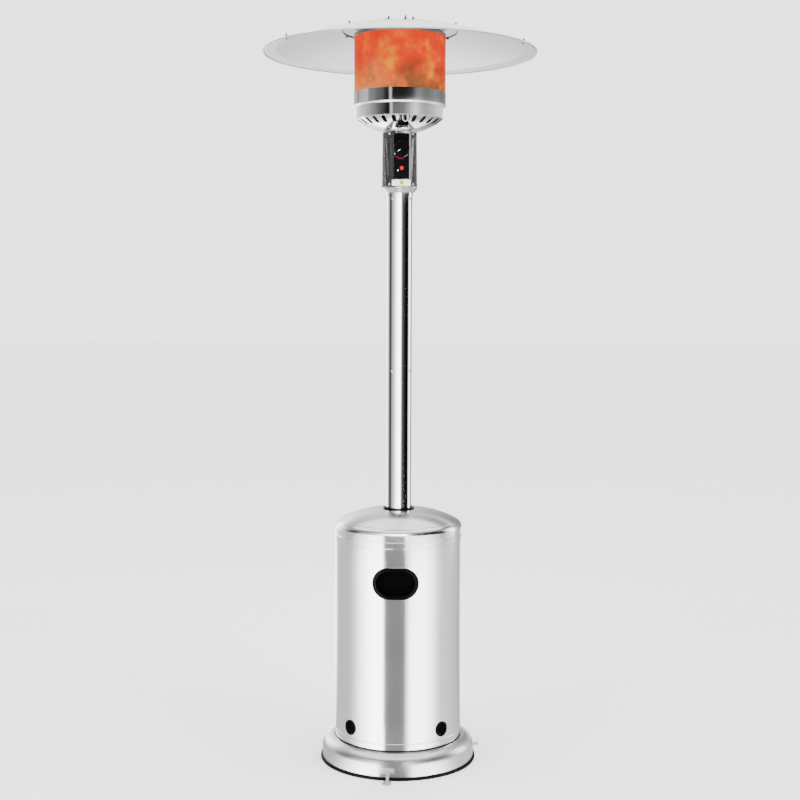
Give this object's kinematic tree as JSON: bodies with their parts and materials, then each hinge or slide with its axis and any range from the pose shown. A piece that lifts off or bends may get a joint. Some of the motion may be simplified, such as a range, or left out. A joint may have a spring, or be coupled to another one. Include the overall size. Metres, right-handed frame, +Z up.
{
  "type": "patio heater",
  "caption": "Free-standing gas patio heater: round reflector over a burner head on a tall pole, a tank cover that slides up the pole, and a weighted round base.",
  "frame": {"origin": "on the ground, on the axis of the pole, at the centre of the base", "axes": "+Z up along the pole, -Y towards the front, where the anchor bracket, the hand cup and (5 degrees round) the control panel face"},
  "size_m": [0.8129, 0.813, 2.234],
  "materials": {
    "black_rubber": "matt",
    "satin_stainless": "brushed round the body",
    "zinc_steel": "bright zinc plate",
    "cast_iron": "rough casting",
    "grey_paint": "powder coat",
    "polished_chrome": "mirror polish",
    "cylinder_paint": "gloss paint",
    "brass": "machined",
    "blue_plastic": "moulded",
    "black_plastic": "fine grain",
    "regulator_zinc": "die cast",
    "screen_steel": "perforated, dark grey",
    "white_label": "plain printed film with a green dot",
    "valve_aluminium": "die cast",
    "knob_plastic": "moulded",
    "red_plastic": "moulded",
    "copper": "drawn tube",
    "ceramic": "glazed ceramic",
    "heat_stained_steel": "heat stained",
    "glowing_mesh": "perforated, glowing red",
    "reflector_aluminium": "satin"
  },
  "bodies": {
    "stand": {"base_rim_trim": "black_rubber", "base_pan": "satin_stainless", "base_plate": "zinc_steel", "base_weight": "cast_iron", "deck_spacers": "zinc_steel", "anchor_brackets": "zinc_steel", "support_legs": "grey_paint", "leg_bolts": "zinc_steel", "post_socket": "grey_paint", "pole_lower": "polished_chrome", "pole_coupling": "zinc_steel", "pole_upper": "polished_chrome", "pole_screws": "zinc_steel", "cylinder_body": "cylinder_paint", "cylinder_rings": "cylinder_paint", "cylinder_valve": "brass", "coupling_nut": "black_plastic", "regulator": "regulator_zinc", "gas_hose": "black_rubber", "hose_ferrules": "brass", "head_collar": "polished_chrome", "front_strip": "polished_chrome", "back_strip": "polished_chrome", "screen_left": "screen_steel", "screen_right": "screen_steel", "screen_screws": "zinc_steel", "control_panel": "black_plastic", "rating_plate": "white_label", "head_flange": "zinc_steel", "gas_valve": "valve_aluminium", "igniter_body": "black_plastic", "tilt_switch": "black_plastic", "gas_riser": "brass", "pilot_burner": "zinc_steel", "thermocouple": "copper", "spark_electrode": "ceramic", "burner_bowl": "satin_stainless", "band_lower": "polished_chrome", "band_upper": "polished_chrome", "burner_pan": "heat_stained_steel", "burner_screen": "heat_stained_steel", "emitter_screen": "glowing_mesh", "emitter_cap": "heat_stained_steel", "reflector_studs": "zinc_steel", "wing_nuts": "zinc_steel", "reflector_disc": "reflector_aluminium", "reflector_petal_1": "reflector_aluminium", "reflector_petal_2": "reflector_aluminium", "reflector_petal_3": "reflector_aluminium", "reflector_bolts": "zinc_steel"},
    "tank_cover": {"cover_wall": "satin_stainless", "cover_foot_band": "satin_stainless", "cover_dome": "satin_stainless", "hand_cups": "black_plastic", "vent_grommets": "black_plastic", "pole_grommet": "black_plastic"},
    "handwheel": {"handwheel": "blue_plastic"},
    "plunger": {"valve_plunger": "brass"},
    "knob": {"control_knob": "knob_plastic"},
    "igniter": {"igniter_button": "red_plastic"}
  },
  "joints": [
    {"name": "cover_lift", "type": "slide", "parent": "stand", "child": "tank_cover", "axis": [0, 0, 1], "range_m": [0, 0.9]},
    {"name": "cylinder_valve_turn", "type": "hinge", "parent": "stand", "child": "handwheel", "pos_m": [0, 0, 0.512], "axis": [0, 0, 1], "range_deg": [0, 540]},
    {"name": "knob_push", "type": "slide", "parent": "stand", "child": "plunger", "axis": [-0.1132, 0.9936, 0], "range_m": [0, 0.004], "stiffness_N_per_m": 1200, "springref_m": -0.001},
    {"name": "knob_turn", "type": "hinge", "parent": "plunger", "child": "knob", "pos_m": [0.00572, -0.05017, 1.846], "axis": [0.1132, -0.9936, 0], "range_deg": [0, 210]},
    {"name": "igniter_press", "type": "slide", "parent": "stand", "child": "igniter", "axis": [-0.1132, 0.9936, 0], "range_m": [0, 0.005], "stiffness_N_per_m": 400, "springref_m": -0.001}
  ]
}
